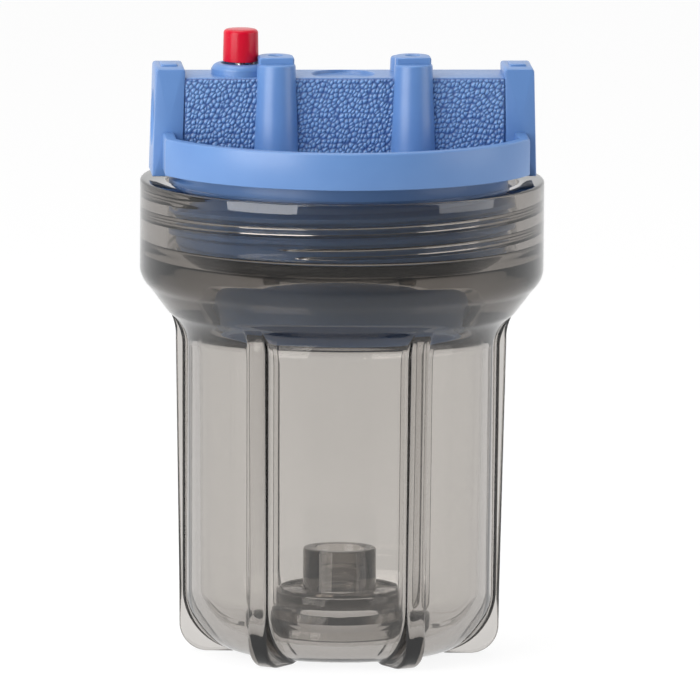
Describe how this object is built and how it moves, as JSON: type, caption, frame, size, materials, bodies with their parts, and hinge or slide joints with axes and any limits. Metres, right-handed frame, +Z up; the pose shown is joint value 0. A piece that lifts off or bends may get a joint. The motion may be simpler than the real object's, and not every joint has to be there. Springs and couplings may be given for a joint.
{
  "type": "cartridge filter housing",
  "caption": "Compact cartridge filter housing: ported cap with press-button pressure relief, and a clear ribbed bowl that unscrews below it.",
  "frame": {"origin": "on the bowl's axis, at the level of its feet", "axes": "+Z up along the bowl's axis towards the cap; the inlet port faces -X, the outlet port +X, the front is -Y"},
  "size_m": [0.1174, 0.1174, 0.1827],
  "materials": {
    "cap_plastic": "satin moulded, pebbled panels",
    "bowl_plastic": "clear smoke tint, polished",
    "button_plastic": "glossy moulded",
    "seal_rubber": "matte, greased",
    "valve_steel": "bright drawn"
  },
  "bodies": {
    "head": {"cap": "cap_plastic", "relief_spring": "valve_steel"},
    "valve": {"relief_button": "button_plastic", "relief_stem": "valve_steel", "relief_seal_ring": "seal_rubber"},
    "seal": {"bowl_seal_ring": "seal_rubber"},
    "sump": {"bowl": "bowl_plastic"}
  },
  "joints": [
    {"name": "button_press", "type": "slide", "parent": "head", "child": "valve", "axis": [0, 0, -1], "range_m": [0, 0.003], "stiffness_N_per_m": 400, "springref_m": -0.006, "deforming": ["relief_spring"]},
    {"name": "sump_drop", "type": "slide", "parent": "head", "child": "seal", "axis": [0, 0, -1], "range_m": [0, 0.01335]},
    {"name": "sump_turn", "type": "hinge", "parent": "seal", "child": "sump", "pos_m": [0, 0, 0.118], "axis": [0, 0, -1], "range_deg": [0, 756]}
  ],
  "couplings": [
    {"joint": "sump_drop", "follows": "sump_turn", "m_per_rad": 0.0010106}
  ]
}
